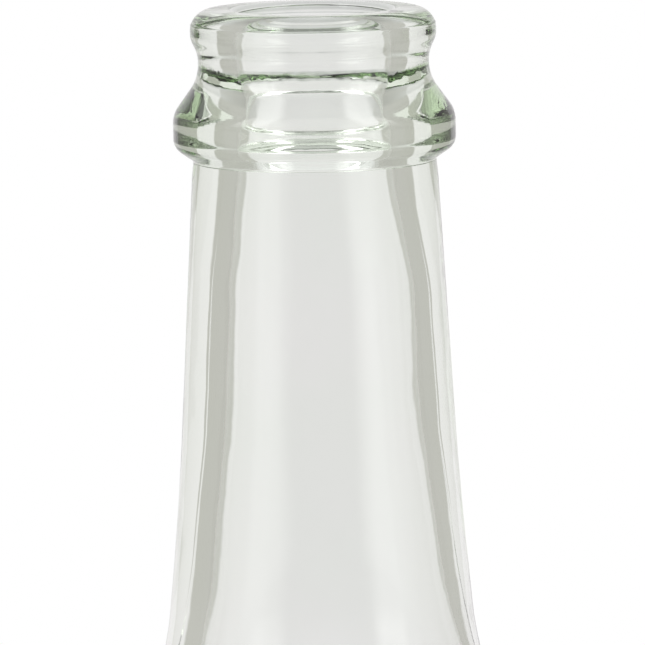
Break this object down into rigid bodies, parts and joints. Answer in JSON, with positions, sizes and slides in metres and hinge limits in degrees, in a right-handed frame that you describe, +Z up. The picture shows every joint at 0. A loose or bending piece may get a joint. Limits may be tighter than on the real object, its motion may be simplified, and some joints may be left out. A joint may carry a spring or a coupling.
{
  "type": "glass soda bottle with crown cork",
  "caption": "Clear glass soda bottle, open, with a locking ring and collar at its mouth; its fluted metal crown cork with liner lies upturned beside it.",
  "frame": {"origin": "on the surface that the bottle and its crown rest on, in the middle of the box round the two", "axes": "+Z up along the bottle's axis, +X from the bottle's axis to the crown's axis, +Y to the back"},
  "size_m": [0.1006, 0.061, 0.229],
  "materials": {
    "bottle_glass": "clear flint glass with a faint green tint, fire-polished",
    "crown_tinplate": "plain lacquered tinplate, satin",
    "crown_liner": "moulded off-white sealing compound"
  },
  "bodies": {
    "bottle": {"bottle": "bottle_glass"},
    "crown": {"crown_shell": "crown_tinplate", "crown_liner": "crown_liner"}
  },
  "joints": [
    {"name": "crown_lift", "type": "slide", "parent": "bottle", "child": "crown", "axis": [0, 0, 1], "range_m": [0, 0.25]}
  ]
}
